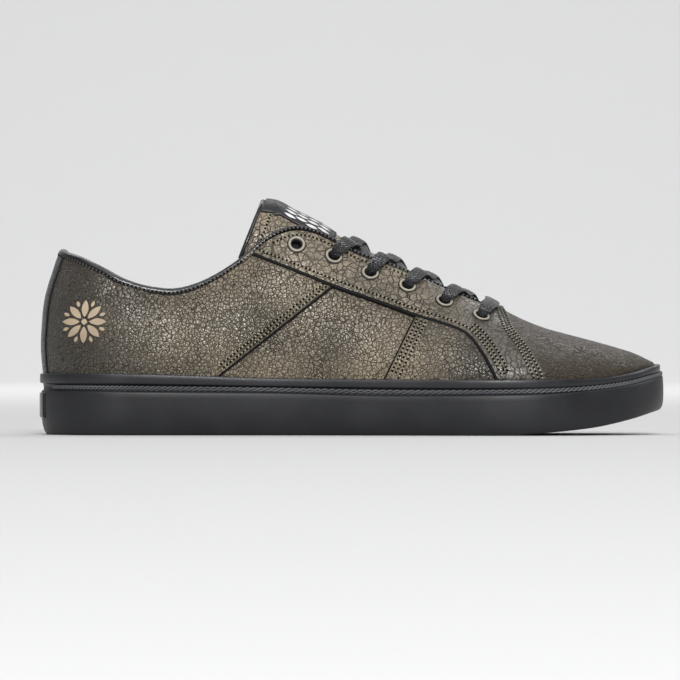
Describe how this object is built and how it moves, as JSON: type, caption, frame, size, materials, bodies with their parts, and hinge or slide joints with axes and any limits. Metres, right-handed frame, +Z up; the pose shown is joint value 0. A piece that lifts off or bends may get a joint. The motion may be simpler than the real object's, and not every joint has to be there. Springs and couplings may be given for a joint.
{
  "type": "skateboarding shoe",
  "caption": "Low-top lace-up skate shoe for the right foot: crackled leather upper with sewn overlays, padded tongue and a flat cup sole with a stitched side channel",
  "frame": {"origin": "under the middle of the sole's box, on the floor plane", "axes": "+X runs from heel to toe, +Y towards the inner side of the foot, -Y towards the outer side, +Z up"},
  "size_m": [0.3006, 0.1088, 0.112],
  "materials": {
    "sole_rubber": "satin dark grey rubber, lightly scuffed",
    "label_rubber": "smooth dark rubber",
    "upper_leather": "crackled waxy olive brown leather",
    "eyestay_leather": "crackled waxy olive brown leather",
    "quarter_leather": "crackled waxy olive brown leather",
    "heel_leather": "crackled waxy olive brown leather with dark edges",
    "binding_leather": "rolled black edge binding",
    "tongue_leather": "crackled waxy olive brown leather",
    "label_satin": "black satin label",
    "insole_cloth": "black lining cloth over foam",
    "eyelet_metal": "enamelled ring with a worn pale rim",
    "lace_cotton": "flat waxed black cotton"
  },
  "bodies": {
    "root": {"cup_sole": "sole_rubber", "heel_label": "label_rubber", "upper": "upper_leather", "eyestay_outer": "eyestay_leather", "eyestay_inner": "eyestay_leather", "rear_quarter_outer": "quarter_leather", "rear_quarter_inner": "quarter_leather", "side_panel_outer": "quarter_leather", "side_panel_inner": "quarter_leather", "heel_stay": "heel_leather", "collar_binding": "binding_leather", "tongue": "tongue_leather", "tongue_label": "label_satin", "tongue_piping": "binding_leather", "insole": "insole_cloth", "eyelet_outer_1": "eyelet_metal", "eyelet_outer_2": "eyelet_metal", "eyelet_outer_3": "eyelet_metal", "eyelet_outer_4": "eyelet_metal", "eyelet_outer_5": "eyelet_metal", "eyelet_outer_6": "eyelet_metal", "eyelet_inner_1": "eyelet_metal", "eyelet_inner_2": "eyelet_metal", "eyelet_inner_3": "eyelet_metal", "eyelet_inner_4": "eyelet_metal", "eyelet_inner_5": "eyelet_metal", "eyelet_inner_6": "eyelet_metal", "lace_crossing_1": "lace_cotton", "lace_crossing_2": "lace_cotton", "lace_crossing_3": "lace_cotton", "lace_crossing_4": "lace_cotton", "lace_bar": "lace_cotton"}
  },
  "joints": []
}
